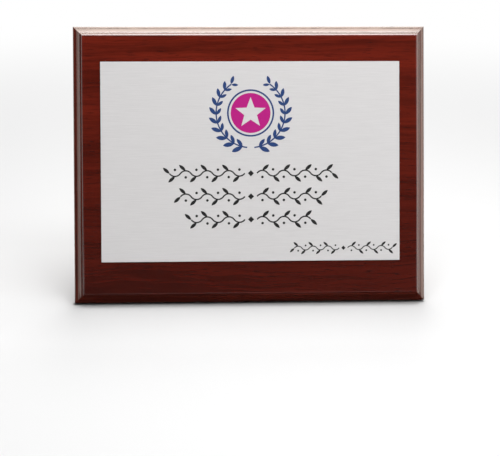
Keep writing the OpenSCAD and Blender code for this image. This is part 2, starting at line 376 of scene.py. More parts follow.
def turned(profile, segments=40, closed=False):
    """Turns (radius, height) points about z; an open profile may start or end on the axis."""
    bm = blank()
    verts = [bm.verts.new((r, 0, h)) for r, h in profile]
    ends = verts[1:] + verts[:1] if closed else verts[1:]
    edges = [bm.edges.new(pair) for pair in zip(verts, ends)]
    bmesh.ops.spin(bm, geom=verts + edges, cent=(0, 0, 0), axis=(0, 0, 1),
                   angle=math.tau, steps=segments, use_merge=True)
    weld(bm)
    return bm


def repeated(source, places, onto=None):
    """Copies of a mesh at several places, in one mesh or on top of another."""
    bm = onto or bmesh.new()
    for place in places:
        copy = bpy.data.meshes.new("copy")
        source.to_mesh(copy)
        copy.transform(place)
        bm.from_mesh(copy)
        bpy.data.meshes.remove(copy)
    source.free()
    return bm


def piece(name, bm, place, finishes, body="board", node=None):
    """Puts a drawn mesh in its place as a finished piece that rides on a body."""
    bmesh.ops.transform(bm, matrix=place, verts=bm.verts)
    bm.normal_update()
    for face in bm.faces:
        face.smooth = True
    for edge in bm.edges:
        same = len({f.material_index for f in edge.link_faces}) == 1
        edge.smooth = same and edge.calc_face_angle(math.pi) < SHARP
    mesh = bpy.data.meshes.new(name)
    bm.to_mesh(mesh)
    bm.free()
    for finish in finishes:
        mesh.materials.append(finish)
    obj = bpy.data.objects.new(name, mesh)
    bpy.context.scene.collection.objects.link(obj)
    flats = obj.modifiers.new("flat_faces_stay_flat", "WEIGHTED_NORMAL")
    flats.keep_sharp = True
    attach(obj, body)
    if node:
        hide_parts(node)
    return obj


# Shader nodes

def tone(red, green, blue):
    """A colour as it looks on screen, from 0 to 255, in the shader's own values."""
    shares = [c / 255 for c in (red, green, blue)]
    return (*[s / 12.92 if s <= 0.04045 else ((s + 0.055) / 1.055) ** 2.4 for s in shares], 1)


def join(tree, value, socket):
    """Feeds a socket from another node, or sets its value."""
    if isinstance(value, bpy.types.NodeSocket):
        tree.links.new(value, socket)
    else:
        socket.default_value = value


def add(tree, kind, settings=None, **inputs):
    """Adds a node; an input is a value or another node's output."""
    made = tree.nodes.new("ShaderNode" + kind)
    for name, value in (settings or {}).items():
        setattr(made, name, value)
    for name, value in inputs.items():
        join(tree, value, made.inputs[name.replace("_", " ")])
    return made


def maths(tree, operation, a, b=0.0):
    """One sum of two values."""
    made = add(tree, "Math", {"operation": operation})
    join(tree, a, made.inputs[0])
    join(tree, b, made.inputs[1])
    return made.outputs[0]


def vector_maths(tree, operation, a, b):
    """One sum of two vectors: its Vector and its Value."""
    made = add(tree, "VectorMath", {"operation": operation})
    join(tree, a, made.inputs[0])
    join(tree, b, made.inputs[1])
    return made.outputs


def mixed(tree, share, a, b, mode="MIX"):
    """A mix of two colours."""
    made = add(tree, "Mix", {"data_type": "RGBA", "blend_type": mode})
    for value, index in ((share, 0), (a, 6), (b, 7)):
        join(tree, value, made.inputs[index])
    return made.outputs[2]


def spread(tree, value, low, high, to_low=0.0, to_high=1.0):
    """A value moved smoothly from one range to another."""
    settings = {"interpolation_type": "SMOOTHSTEP"}
    made = add(tree, "MapRange", settings, Value=value, From_Min=low, From_Max=high,
               To_Min=to_low, To_Max=to_high)
    return made.outputs[0]


def noise(tree, vector, scale, detail=2.0, roughness=0.5):
    """Cloudy noise from 0 to 1."""
    made = add(tree, "TexNoise", None, Vector=vector, Scale=scale, Detail=detail,
               Roughness=roughness)
    return made.outputs["Fac"]


def surface(tree, shader, colour, roughness, height, relief):
    """Gives a shader its colour, its roughness and a relief whose depth is in metres."""
    bump = add(tree, "Bump", None, Height=height, Distance=relief, Strength=1.0)
    join(tree, colour, shader["Base Color"])
    join(tree, roughness, shader["Roughness"])
    join(tree, bump.outputs["Normal"], shader["Normal"])


def effect(name, inputs, outputs):
    """A node group with named sockets: its tree, what it is given and what it gives."""
    tree = bpy.data.node_groups.new(name, "ShaderNodeTree")
    for label, kind in inputs:
        tree.interface.new_socket(label, in_out="INPUT", socket_type="NodeSocket" + kind)
    for label in outputs:
        tree.interface.new_socket(label, in_out="OUTPUT", socket_type="NodeSocketFloat")
    given = tree.nodes.new("NodeGroupInput").outputs
    gives = tree.nodes.new("NodeGroupOutput").inputs
    return tree, given, gives


def use(tree, group, **inputs):
    """Places a node group in a material, and gives its outputs."""
    return add(tree, "Group", {"node_tree": group}, **inputs).outputs


def material(name, **constants):
    """A new material: itself, its tree, its shader and its object coordinates."""
    made = bpy.data.materials.new(name)
    made.use_nodes = True
    tree = made.node_tree
    shader = tree.nodes["Principled BSDF"]
    for label, value in constants.items():
        shader.inputs[label.replace("_", " ")].default_value = value
    return made, tree, shader.inputs, add(tree, "TexCoord").outputs["Object"]


# Effects that several finishes share

def timber_grain():
    """Wandering streaks of grain along x, with broad bands and short open pores."""
    tree, given, gives = effect(
        "timber_grain", [("Vector", "Vector"), ("Streaks", "Vector"), ("Wander", "Float")],
        ["Figure", "Pores"])
    drift = maths(tree, "SUBTRACT", noise(tree, given["Vector"], 16.0), 0.5)
    shift = add(tree, "CombineXYZ", None, Z=maths(tree, "MULTIPLY", drift, given["Wander"]))
    moved = vector_maths(tree, "ADD", given["Vector"], shift.outputs[0])["Vector"]
    along = vector_maths(tree, "MULTIPLY", moved, given["Streaks"])["Vector"]
    fine = noise(tree, along, 1.0, 5.0, 0.62)
    bands = noise(tree, along, 0.16, 3.0, 0.5)
    figure = maths(tree, "ADD", maths(tree, "MULTIPLY", fine, 0.5),
                   maths(tree, "MULTIPLY", bands, 0.5))
    tree.links.new(spread(tree, figure, 0.36, 0.64), gives["Figure"])
    short = vector_maths(tree, "MULTIPLY", along, (5.0, 5.0, 3.2))["Vector"]
    tree.links.new(spread(tree, noise(tree, short, 1.0, 1.0), 0.57, 0.69), gives["Pores"])
    return tree


def rim_wear():
    """Rubbed patches along the eased rims of a piece."""
    tree, given, gives = effect(
        "rim_wear", [("Vector", "Vector"), ("Amount", "Float")], ["Wear"])
    rim = add(tree, "Attribute", {"attribute_name": "rim"}).outputs["Fac"]
    patches = spread(tree, noise(tree, given["Vector"], 420.0, 4.0, 0.65), 0.38, 0.62)
    rubbed = maths(tree, "MULTIPLY", rim, patches)
    tree.links.new(maths(tree, "MULTIPLY", rubbed, given["Amount"]), gives["Wear"])
    return tree


def settled_dust():
    """Dust that lies thicker where a surface looks up."""
    tree, given, gives = effect(
        "settled_dust", [("Vector", "Vector"), ("Amount", "Float")], ["Dust"])
    normal = add(tree, "NewGeometry").outputs["Normal"]
    up = add(tree, "SeparateXYZ", None, Vector=normal).outputs["Z"]
    specks = noise(tree, given["Vector"], 1400.0, 3.0, 0.7)
    clouds = noise(tree, given["Vector"], 60.0, 2.0)
    lies = maths(tree, "MULTIPLY", spread(tree, up, 0.1, 0.95), spread(tree, specks, 0.45, 0.7))
    lies = maths(tree, "MULTIPLY", lies, spread(tree, clouds, 0.3, 0.7, 0.4, 1.0))
    tree.links.new(maths(tree, "MULTIPLY", lies, given["Amount"]), gives["Dust"])
    return tree


def drawn_lines():
    """Fine lines left by rolling, brushing or handling."""
    tree, given, gives = effect(
        "drawn_lines", [("Vector", "Vector"), ("Lines", "Vector")], ["Lines"])
    along = vector_maths(tree, "MULTIPLY", given["Vector"], given["Lines"])["Vector"]
    lines = noise(tree, along, 1.0, 4.0, 0.7)
    tree.links.new(spread(tree, lines, 0.3, 0.7), gives["Lines"])
    return tree


GRAIN = timber_grain()
WEAR = rim_wear()
DUST = settled_dust()
LINES = drawn_lines()


# Finishes

def timber(name, dark, light, pore, streaks, wander, turn=0.0, drift=(1.0, 1.0), wear=0.0,
           rough=(0.3, 0.42), relief=0.02 * MM, **constants):
    """Stained and lacquered wood; turn lays its grain across or up the board, and drift scales its
    colour from the bottom of the board to the top as painted shade.
    """
    made, tree, shader, place = material(name, **constants)
    upright = add(tree, "Mapping", None, Vector=place, Rotation=(LEAN, 0, 0)).outputs[0]
    lengthwise = add(tree, "Mapping", None, Vector=upright, Rotation=(0, turn, 0)).outputs[0]
    grain = use(tree, GRAIN, Vector=lengthwise, Streaks=streaks, Wander=wander)
    wood_tone = mixed(tree, grain["Figure"], dark, light)
    wood_tone = mixed(tree, maths(tree, "MULTIPLY", grain["Pores"], 0.55), wood_tone, pore)
    # Painted shade: the colour is multiplied by drift, from its first value at the bottom of the
    # board to its second at the top.
    height = add(tree, "SeparateXYZ", None, Vector=upright).outputs["Z"]
    share = spread(tree, height, 0.0, BOARD_H, *drift)
    wood_tone = mixed(tree, 1.0, wood_tone, share, "MULTIPLY")
    worn = use(tree, WEAR, Vector=place, Amount=wear)["Wear"]
    wood_tone = mixed(tree, worn, wood_tone, light)
    uneven = spread(tree, grain["Figure"], 0.0, 1.0, *rough)
    sunk = maths(tree, "SUBTRACT", maths(tree, "MULTIPLY", grain["Figure"], 0.3), grain["Pores"])
    surface(tree, shader, wood_tone, uneven, sunk, relief)
    return made


def fibreboard():
    """Raw core that shows in the pocket behind the keyhole."""
    made, tree, shader, place = material("raw_fibreboard", Specular_IOR_Level=0.2)
    fibres = noise(tree, place, 1800.0, 5.0, 0.75)
    clumps = noise(tree, place, 260.0, 3.0)
    colour = mixed(tree, fibres, tone(96, 66, 42), tone(170, 128, 88))
    clumped = spread(tree, clumps, 0.35, 0.7, 0.0, 0.4)
    colour = mixed(tree, clumped, colour, tone(120, 84, 54))
    surface(tree, shader, colour, spread(tree, fibres, 0.2, 0.8, 0.75, 0.95), fibres, 0.12 * MM)
    return made


def satin_silver():
    """Matt silver aluminium with a faint rolled grain."""
    made, tree, shader, place = material("satin_silver", Metallic=0.15, Specular_IOR_Level=0.35)
    upright = add(tree, "Mapping", None, Vector=place, Rotation=(LEAN, 0, 0)).outputs[0]
    rolled = use(tree, LINES, Vector=upright, Lines=(60.0, 900.0, 5200.0))["Lines"]
    blast = noise(tree, place, 5200.0, 3.0, 0.6)
    colour = mixed(tree, rolled, tone(211, 209, 209), tone(221, 219, 219))
    worn = use(tree, WEAR, Vector=place, Amount=0.5)["Wear"]
    colour = mixed(tree, worn, colour, tone(238, 238, 240))
    surface(tree, shader, colour, spread(tree, rolled, 0.0, 1.0, 0.46, 0.56), blast, 0.006 * MM)
    return made


def plated_steel(name, bright, dull, rough):
    """Plated sheet steel: rolled lines, dulled clouds, rubbed rims and a little dust."""
    made, tree, shader, place = material(name, Metallic=1.0)
    lines = use(tree, LINES, Vector=place, Lines=(3000.0, 240.0, 240.0))["Lines"]
    clouds = noise(tree, place, 90.0, 3.0, 0.5)
    colour = mixed(tree, spread(tree, clouds, 0.3, 0.75, 0.0, 0.4), bright, dull)
    colour = mixed(tree, maths(tree, "MULTIPLY", lines, 0.18), colour, dull)
    worn = use(tree, WEAR, Vector=place, Amount=0.9)["Wear"]
    colour = mixed(tree, worn, colour, tone(206, 204, 198))
    dust = use(tree, DUST, Vector=place, Amount=0.25)["Dust"]
    colour = mixed(tree, dust, colour, tone(150, 144, 134))
    smear = maths(tree, "MULTIPLY", spread(tree, clouds, 0.3, 0.75), 0.14)
    uneven = maths(tree, "ADD", smear, spread(tree, lines, 0.0, 1.0, rough, rough + 0.1))
    dulled = maths(tree, "ADD", uneven, maths(tree, "MULTIPLY", dust, 0.5))
    surface(tree, shader, colour, dulled, lines, 0.004 * MM)
    return made


def rubber():
    """Moulded black rubber with a sandy skin and grey dust."""
    made, tree, shader, place = material("black_rubber", Specular_IOR_Level=0.35)
    skin = noise(tree, place, 2600.0, 3.0, 0.6)
    scuffs = spread(tree, noise(tree, place, 340.0, 4.0, 0.7), 0.5, 0.75)
    colour = mixed(tree, scuffs, tone(30, 30, 31), tone(52, 51, 50))
    worn = use(tree, WEAR, Vector=place, Amount=0.5)["Wear"]
    colour = mixed(tree, worn, colour, tone(70, 68, 66))
    dust = use(tree, DUST, Vector=place, Amount=0.4)["Dust"]
    colour = mixed(tree, dust, colour, tone(128, 122, 114))
    surface(tree, shader, colour, spread(tree, scuffs, 0.0, 1.0, 0.55, 0.8), skin, 0.04 * MM)
    return made


def nylon():
    """Natural nylon, faintly mottled."""
    made, tree, shader, place = material("natural_nylon", Subsurface_Weight=0.3,
                                         Subsurface_Scale=0.4 * MM)
    mottle = noise(tree, place, 700.0, 3.0)
    colour = mixed(tree, mottle, tone(214, 208, 192), tone(238, 234, 224))
    surface(tree, shader, colour, spread(tree, mottle, 0.3, 0.7, 0.35, 0.5), mottle, 0.02 * MM)
    return made


def adhesive():
    """Milky foam adhesive, as it shows at its cut edge."""
    made, tree, shader, place = material("milky_adhesive", Specular_IOR_Level=0.3)
    cells = noise(tree, place, 3200.0, 4.0, 0.7)
    colour = mixed(tree, cells, tone(176, 170, 156), tone(216, 212, 200))
    surface(tree, shader, colour, spread(tree, cells, 0.3, 0.7, 0.5, 0.7), cells, 0.03 * MM)
    return made


def ink(name, colour, thin):
    """Printed ink, a little uneven where it covers the grain of the metal."""
    made, tree, shader, place = material(name, Specular_IOR_Level=0.4)
    cover = noise(tree, place, 2400.0, 4.0, 0.7)
    colour = mixed(tree, spread(tree, cover, 0.45, 0.85, 0.0, 0.5), colour, thin)
    surface(tree, shader, colour, spread(tree, cover, 0.3, 0.7, 0.35, 0.5), cover, 0.004 * MM)
    return made


FACE_STREAKS = (22.0, 300.0, 520.0)
EDGE_STREAKS = (16.0, 420.0, 420.0)
EDGE_STAIN = {
    "dark": tone(62, 20, 13), "light": tone(94, 31, 20), "pore": tone(42, 14, 10),
    "streaks": EDGE_STREAKS, "wander": 4 * MM, "wear": 0.1, "rough": (0.14, 0.2),
    "Coat_Weight": 0.3, "Coat_Roughness": 0.05, "Coat_IOR": 1.7, "IOR": 1.75,
    "Specular_Tint": (1, 0.82, 0.68, 1)}

# The face's drift is painted shade: it leaves the face about half as bright at the bottom of the
# board as at the top.
face_finish = timber(
    "mahogany_face", tone(78, 17, 5), tone(110, 29, 13), tone(56, 12, 4), FACE_STREAKS,
    9 * MM, drift=(0.52, 1.04), wear=0.1, rough=(0.235, 0.245), relief=0.01 * MM, Coat_Weight=1.0,
    Coat_Roughness=0.05, Specular_IOR_Level=0.3)
edge_across = timber("moulded_edge_across", **EDGE_STAIN)
edge_upright = timber("moulded_edge_upright", turn=math.pi / 2, **EDGE_STAIN)
back_finish = timber(
    "mahogany_back", tone(78, 40, 26), tone(118, 66, 44), tone(52, 27, 18), (14.0, 300.0, 360.0),
    14 * MM, wear=0.3, rough=(0.42, 0.56), relief=0.05 * MM, Coat_Weight=0.25,
    Coat_Roughness=0.35)
core_finish = fibreboard()
silver_finish = satin_silver()
sheet_finish = plated_steel("plated_sheet", tone(206, 176, 104), tone(150, 122, 66), 0.24)
screw_finish = plated_steel("plated_screw", tone(222, 194, 122), tone(170, 140, 80), 0.18)
rubber_finish = rubber()
nylon_finish = nylon()
adhesive_finish = adhesive()
navy_ink = ink("navy_ink", tone(28, 58, 114), tone(64, 92, 140))
magenta_ink = ink("magenta_ink", tone(182, 10, 124), tone(198, 60, 146))
black_ink = ink("black_ink", tone(24, 23, 23), tone(60, 58, 58))


# Board

BEAD = (MOULDING_W, BOARD_T - BEAD_R, BEAD_R)
VENEER_ANGLE = 180 - math.degrees(math.asin((BEAD_R - VENEER_T) / BEAD_R))
CORE_EDGE = [
    (0, VENEER_T),
    *arc(ARRIS_R, WALL_Z, ARRIS_R, 180, 180 - COVE_ANGLE, 10),
    *arc(ARRIS_W - COVE_REACH, FILLET_Z, COVE_R, -COVE_ANGLE, 0, 28)[1:],
    (MOULDING_W - BEAD_R, FILLET_Z + FILLET_RISE),
    *arc(*BEAD, 180, VENEER_ANGLE, 6)]
FACE_EDGE = arc(*BEAD, VENEER_ANGLE, 90, 10)


def side_of_board(face):
    """0 for the top and bottom edges of the board, 1 for its left and right edges."""
    middle = face.calc_center_median()
    from_side = BOARD_W / 2 - abs(middle.x)
    from_end = BOARD_H / 2 - abs(middle.y - BOARD_MID_Y)
    return int(from_side < from_end)


def hanger_seat(bm, z):
    """Outline of the seat that is sunk into the back for the hanger."""
    return rounded_rectangle(bm, HANGER_W + 2 * SEAT_GAP, HANGER_H + 2 * SEAT_GAP,
                             HANGER_CORNER_R + SEAT_GAP, 0, HANGER_Y, z)


def bored_floor(bm, outlines, places, z, depth):
    """Fills outlines with a floor that looks to the rear, with blind pilot holes bored in it."""
    holes = [circle(bm, PILOT_R, x, y, z) for x, y in places]
    fill(bm, outlines + [e for hole in holes for e in hole], -1)
    for hole in holes:
        lid(bm, sink(bm, hole, depth))


def moulded_core():
    """Core with the moulded edge, and behind it pilot holes and the hanger's seat and pocket."""
    bm = blank()
    cap = rectangle(bm, BOARD_W, BOARD_H, 0, BOARD_MID_Y, VENEER_T)
    climb(bm, [cap], CORE_EDGE)
    base = [e for e in bm.edges if e.is_boundary]
    for face in bm.faces:
        face.material_index = side_of_board(face)
    moulded = set(bm.faces)
    seat = hanger_seat(bm, VENEER_T)
    bored_floor(bm, base + seat, BRACKET_SCREWS, VENEER_T, SCREW_L)
    seat_floor = sink(bm, seat, HANGER_T - VENEER_T)
    pocket = upright_slot(bm, POCKET_R, SLOT_RISE, 0, KEYHOLE_Y, HANGER_T)
    bored_floor(bm, seat_floor + pocket, HANGER_SCREWS, HANGER_T, SCREW_L)
    lid(bm, sink(bm, pocket, POCKET_DEPTH - HANGER_T))
    for face in set(bm.faces) - moulded:
        face.material_index = 2
    weld(bm)
    return bm


def face_sheet():
    """Face veneer, rounded over along the bead."""
    bm = blank()
    inset = FACE_EDGE[0][0]
    cap = rectangle(bm, BOARD_W - 2 * inset, BOARD_H - 2 * inset, 0, BOARD_MID_Y, FACE_EDGE[0][1])
    climb(bm, [cap], FACE_EDGE, worn=True)
    lid(bm, [e for e in bm.edges if e.is_boundary])
    weld(bm)
    return bm


def back_sheet():
    """Back veneer with a chamfered edge, an opening for the hanger and holes for the screws."""
    bm = blank()
    outer = rectangle(bm, BOARD_W, BOARD_H, 0, BOARD_MID_Y, VENEER_T)
    bmesh.ops.reverse_faces(bm, faces=[outer])
    climb(bm, [outer], [(0, 0), (VENEER_T, VENEER_T)], worn=True)
    rim = outer.edges[:]
    bmesh.ops.delete(bm, geom=[outer], context="FACES_ONLY")
    base = [e for e in bm.edges if e.is_boundary and e not in rim]
    openings = hanger_seat(bm, 0)
    for x, y in BRACKET_SCREWS:
        openings += circle(bm, PILOT_R, x, y, 0)
    fill(bm, rim + openings, -1)
    fill(bm, base + sink(bm, openings, VENEER_T))
    weld(bm)
    return bm


def silver_sheet():
    """Silver plate with fine eased rims."""
    bm = blank()
    sheet = rectangle(bm, PLATE_W, PLATE_H, 0, PLATE_Y, PRINT_Z - PLATE_T / 2)
    rim = sheet.edges[:]
    bmesh.ops.delete(bm, geom=[sheet], context="FACES_ONLY")
    plate(bm, rim, PLATE_T, PLATE_EASE)
    return bm


def adhesive_sheet():
    """Adhesive with round corners, set in from the plate's edges."""
    bm = blank()
    outline = rounded_rectangle(
        bm, PLATE_W - 2 * ADHESIVE_INSET, PLATE_H - 2 * ADHESIVE_INSET, ADHESIVE_CORNER_R,
        0, PLATE_Y, BOARD_T + ADHESIVE_T / 2)
    plate(bm, outline, ADHESIVE_T)
    return bm


piece("moulded_core", moulded_core(), ON_BOARD, [edge_across, edge_upright, core_finish],
      node="core_board")
piece("mahogany_face_sheet", face_sheet(), ON_BOARD, [face_finish],
      node="face_veneer")
piece("mahogany_back_sheet", back_sheet(), ON_BOARD, [back_finish],
      node="back_veneer")
piece("foam_adhesive", adhesive_sheet(), ON_BOARD, [adhesive_finish],
      node="adhesive_sheet")
piece("silver_plate", silver_sheet(), ON_BOARD, [silver_finish],
      node="inscription_plate")


# Print: a laurel wreath round a star, over vines in four lines

ON_PLATE = ON_BOARD @ Matrix.Translation((0, PLATE_Y + PLATE_H / 2, PRINT_Z))
UNIT_LEAF_W = math.sqrt(2) - 1
WREATH_R = 22.5 * MM
WREATH_Y = -33.5 * MM
WREATH_PAIRS = 10
WREATH_START = math.radians(-76)
WREATH_END = math.radians(56)
WREATH_TAIL = math.radians(8)
WREATH_SPLAY = math.radians(38)
WREATH_LEAF_L = 7.6 * MM
WREATH_LEAF_W = 3 * MM
WREATH_TAPER = 0.26
WREATH_INNER = 0.8
MEDAL_R = 13 * MM
RING_R = 15.4 * MM
RING_W = 1.1 * MM
STAR_R = 10.4 * MM
STAR_WAIST = 0.42

# Each vine: its middle, its height on the plate, its bends to each side and its size
VINES = [
    (0, -72.7 * MM, 7, 1.0), (0, -87.8 * MM, 6, 1.0), (0, -102.8 * MM, 5, 1.0),
    (60.5 * MM, -121.8 * MM, 6, 0.7)]
VINE_STEP = 7 * MM
VINE_BEND = 55
VINE_R = VINE_STEP / 2 / math.sin(math.radians(VINE_BEND))
VINE_DROP = VINE_R * math.cos(math.radians(VINE_BEND))
VINE_LEAF_L = 5.8 * MM
VINE_LEAF_W = 2.1 * MM
VINE_SPLAY = math.radians(42)
STEM_W = 0.9 * MM
BERRY_R = 0.85 * MM
LOZENGE_R = 2 * MM


def ink_leaf():
    """A pointed leaf of two quarter arcs along x, one unit long."""
    bm = blank()
    plate(bm, Pen(bm, 0, 0, 0).arc(0.5, 0.5, 90, 8).arc(0.5, -0.5, 90, 8).close(), 2 * INK_T)
    return bm


def ink_disc(radius, corners):
    """A round dot, or a lozenge where it has only four corners."""
    bm = blank()
    plate(bm, circle(bm, radius, 0, 0, 0, corners), 2 * INK_T)
    return bm


def vine_bends(bends):
    """Middle of each bend of a vine, and 1 where it swings up or -1 where it swings down."""
    sides = [1 - 2 * (i % 2) for i in range(bends)]
    return [(VINE_STEP * (i + 0.5), -side * VINE_DROP, side) for i, side in enumerate(sides)]


def ink_stem(bends):
    """A stem that waves along x in equal bends."""
    bm = blank()
    path = vine_bends(bends)
    start = turned_point(-STEM_W / 2, 0, -math.radians(90 - VINE_BEND))
    pen = Pen(bm, *start, 0)
    for x, y, side in path:
        pen.arc(x, y, -2 * VINE_BEND * side, 8)
    x, y, side = path[-1]
    across = (pen.tip.co.xy - Vector((x, y))).normalized() * STEM_W * side
    pen.line(*(pen.tip.co.xy - across))
    for x, y, side in reversed(path):
        pen.arc(x, y, 2 * VINE_BEND * side, 8)
    plate(bm, pen.line(*start).close(), 2 * INK_T)
    return bm


def laid(x, y, heading, length, width):
    """Place of a unit shape that is stretched along a heading."""
    return (Matrix.Translation((x, y, 0)) @ Matrix.Rotation(heading, 4, "Z")
            @ Matrix.Diagonal((length, width, 1, 1)))


def laid_leaf(x, y, heading, length, width):
    """Place of a leaf that grows from a point."""
    return laid(x, y, heading, length, width / UNIT_LEAF_W)


def ink_branch():
    """A thin branch round the right half of the wreath."""
    bm = blank()
    start = turned_point(WREATH_R + STEM_W / 2, 0, WREATH_START - WREATH_TAIL)
    sweep = math.degrees(WREATH_END - WREATH_START + WREATH_TAIL)
    pen = Pen(bm, *start, 0).arc(0, 0, sweep, 32)
    pen.line(*turned_point(WREATH_R - STEM_W / 2, 0, WREATH_END))
    plate(bm, pen.arc(0, 0, -sweep, 32).line(*start).close(), 2 * INK_T)
    return bm


def wreath():
    """Two branches of paired leaves that grow smaller towards the top."""
    places = []
    for i in range(WREATH_PAIRS):
        share = i / (WREATH_PAIRS - 1)
        angle = WREATH_START + (WREATH_END - WREATH_START) * share
        size = 1 - WREATH_TAPER * share
        for side, part in ((-1, size), (1, size * WREATH_INNER)):
            stalk = turned_point(WREATH_R - side * STEM_W / 4, 0, angle)
            heading = angle + math.pi / 2 + side * WREATH_SPLAY
            places.append(laid_leaf(*stalk, heading, WREATH_LEAF_L * part, WREATH_LEAF_W * part))
    half = repeated(ink_branch(), [Matrix.Identity(4)], repeated(ink_leaf(), places))
    over = Matrix.Rotation(math.pi, 4, "Y")
    middle = Matrix.Translation((0, WREATH_Y, 0))
    return repeated(half, [middle, middle @ over])


def vine(bm, place, bends):
    """Half a vine: a waving stem with a leaf and a berry at each bend and a leaf at its end."""
    path = vine_bends(bends)
    berries = [Matrix.Translation((x, y, 0)) for x, y, side in path]
    buds = [(x, y + side * VINE_R, side) for x, y, side in path]
    buds.append((VINE_STEP * bends, 0, -path[-1][2]))
    leaves = [
        laid_leaf(x, y, side * VINE_SPLAY, VINE_LEAF_L, VINE_LEAF_W) for x, y, side in buds]
    repeated(ink_stem(bends), [place], bm)
    repeated(ink_leaf(), [place @ leaf for leaf in leaves], bm)
    repeated(ink_disc(BERRY_R, 16), [place @ berry for berry in berries], bm)


def vines():
    """Vines that grow both ways from a lozenge."""
    bm = bmesh.new()
    for x, y, bends, size in VINES:
        repeated(ink_disc(LOZENGE_R, 4), [laid(x, y, 0, size, size)], bm)
        for heading in (0, math.pi):
            from_middle = Matrix.Translation((2 * LOZENGE_R, 0, 0))
            vine(bm, laid(x, y, heading, size, size) @ from_middle, bends)
    return bm


def medal():
    """A disc with a star left open in it."""
    bm = blank()
    outlines = circle(bm, MEDAL_R, 0, WREATH_Y, 0, 64)
    reach = [STAR_R, STAR_R * STAR_WAIST] * 5
    corners = [turned_point(0, r, i * math.pi / 5) for i, r in enumerate(reach)]
    pen = Pen(bm, corners[0][0], WREATH_Y + corners[0][1], 0)
    for x, y in corners[1:] + corners[:1]:
        pen.line(x, WREATH_Y + y)
    plate(bm, outlines + pen.close(), 2 * INK_T)
    return bm


def ring():
    """A thin ring round the medal."""
    bm = blank()
    outlines = circle(bm, RING_R, 0, WREATH_Y, 0, 64)
    outlines += circle(bm, RING_R - RING_W, 0, WREATH_Y, 0, 64)
    plate(bm, outlines, 2 * INK_T)
    return bm


piece("printed_wreath", wreath(), ON_PLATE, [navy_ink])
piece("printed_ring", ring(), ON_PLATE, [navy_ink])
piece("printed_medal", medal(), ON_PLATE, [magenta_ink])
piece("printed_vines", vines(), ON_PLATE, [black_ink])


# Hanger

def cross_recess(bm, top):
    """Closes the open top of a screw head, with a tapered cross sunk into it."""
    rim = [e for e in bm.edges if e.is_boundary]
    arm = [(RECESS_L / 2, -RECESS_W / 2), (RECESS_L / 2, RECESS_W / 2), (RECESS_W / 2, RECESS_W / 2)]
    corners = [turned_point(x, y, k * math.pi / 2) for k in range(4) for x, y in arm]
    pen = Pen(bm, *corners[0], top)
    for x, y in corners[1:] + corners[:1]:
        pen.line(x, y)
    cross = pen.close()
    fill(bm, rim + cross)
    lid(bm, sink(bm, cross, -RECESS_D, RECESS_TAPER))
    weld(bm)
    return bm


def shank(top):
    """Outline of a screw below its head: a plain neck, the root of the thread and the point."""
    end = top - SCREW_L
    return [(SCREW_R, top), (SCREW_R, top - NECK_L), (THREAD_ROOT_R, top - THREAD_START),
            (THREAD_ROOT_R, end + SCREW_POINT), (0, end)]


def threaded(screw, top):
    """Winds a ridge down the shank of a screw."""
    ridge = blank()
    first = top - THREAD_START
    section = [(THREAD_SUNK_R, 0), (SCREW_R, 0.3 * THREAD_PITCH), (THREAD_SUNK_R, 0.6 * THREAD_PITCH)]
    start = ridge.faces.new([ridge.verts.new((r, 0, first - drop)) for r, drop in section])
    turns = int((SCREW_L - SCREW_POINT - THREAD_START) / THREAD_PITCH)
    bmesh.ops.spin(ridge, geom=[start, *start.edges, *start.verts], cent=(0, 0, 0), axis=(0, 0, 1),
                   dvec=(0, 0, -THREAD_PITCH / THREAD_STEPS), angle=turns * math.tau,
                   steps=turns * THREAD_STEPS)
    weld(ridge)
    return repeated(ridge, [Matrix.Identity(4)], screw)


def countersunk_screw():
    """Screw with its flat head level with z = 0."""
    bm = turned([(CSK_R - CSK_EASE, 0), (CSK_R, -CSK_EASE), *shank(-HANGER_T)])
    return threaded(cross_recess(bm, 0), -HANGER_T)


def pan_screw():
    """Screw with a rounded head that stands on z = 0."""
    crown = arc(PAN_R - PAN_CORNER_R, PAN_H - PAN_CORNER_R, PAN_CORNER_R, 90, 0, 6)
    return threaded(cross_recess(turned([*crown, (PAN_R, 0), *shank(0)]), PAN_H), 0)


def to_rear(x, y, z, turn=0.0):
    """Place of a fitting that was drawn upwards and stands out of the back."""
    return (Matrix.Translation((x, y, z)) @ Matrix.Rotation(math.pi, 4, "X")
            @ Matrix.Rotation(turn, 4, "Z"))


def keyhole_outline(bm, z):
    """A round entry that runs up into a slot."""
    half = SLOT_W / 2
    neck = math.sqrt(KEYHOLE_R ** 2 - half ** 2)
    sweep = 360 - 2 * math.degrees(math.asin(half / KEYHOLE_R))
    pen = Pen(bm, half, KEYHOLE_Y + neck, z).line(half, KEYHOLE_Y + SLOT_RISE)
    pen.arc(0, KEYHOLE_Y + SLOT_RISE, 180).line(-half, KEYHOLE_Y + neck)
    return pen.arc(0, KEYHOLE_Y, sweep, 40).close()


def keyhole_hanger():
    """Flush plate with a keyhole and two screw holes."""
    bm = blank()
    z = HANGER_T / 2
    outlines = rounded_rectangle(bm, HANGER_W, HANGER_H, HANGER_CORNER_R, 0, HANGER_Y, z)
    outlines += keyhole_outline(bm, z)
    for x, y in HANGER_SCREWS:
        outlines += circle(bm, CSK_R, x, y, z)
    plate(bm, outlines, HANGER_T, SHEET_EASE)
    return bm


piece("keyhole_hanger", keyhole_hanger(), ON_BOARD, [sheet_finish],
      node="hanger_plate")
hanger_places = [to_rear(x, y, 0, turn) for (x, y), turn in zip(HANGER_SCREWS, HANGER_SCREW_TURNS)]
piece("hanger_screw_pair", repeated(countersunk_screw(), hanger_places), ON_BOARD, [screw_finish],
      node="hanger_screws")


# Hinge

